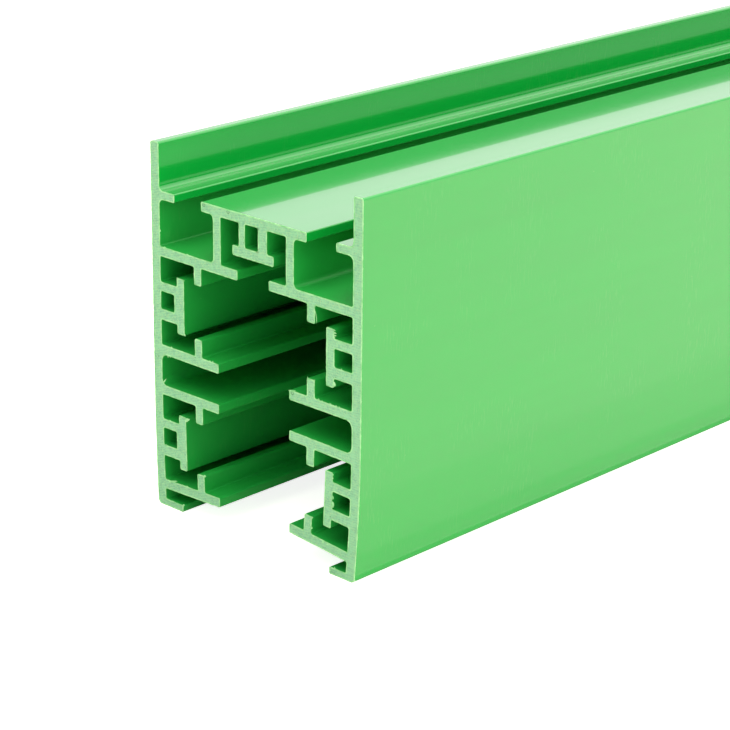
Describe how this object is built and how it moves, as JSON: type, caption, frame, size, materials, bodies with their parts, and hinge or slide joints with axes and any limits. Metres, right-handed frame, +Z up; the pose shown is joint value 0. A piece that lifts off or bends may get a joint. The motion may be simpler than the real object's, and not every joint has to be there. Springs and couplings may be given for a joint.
{
  "type": "pvc extrusion profile",
  "caption": "Straight length of extruded rigid PVC housing with hollow conductor holders, shelves and a slotted underside.",
  "frame": {"origin": "on the floor under the middle of the length, between the two feet", "axes": "+X across the section, +Y along the extrusion, +Z up from the feet to the top of the side walls"},
  "size_m": [0.056, 1, 0.0742],
  "materials": {
    "green_pvc": "smooth extruded skin, sawn ends matt"
  },
  "bodies": {
    "root": {"housing_profile": "green_pvc"}
  },
  "joints": []
}
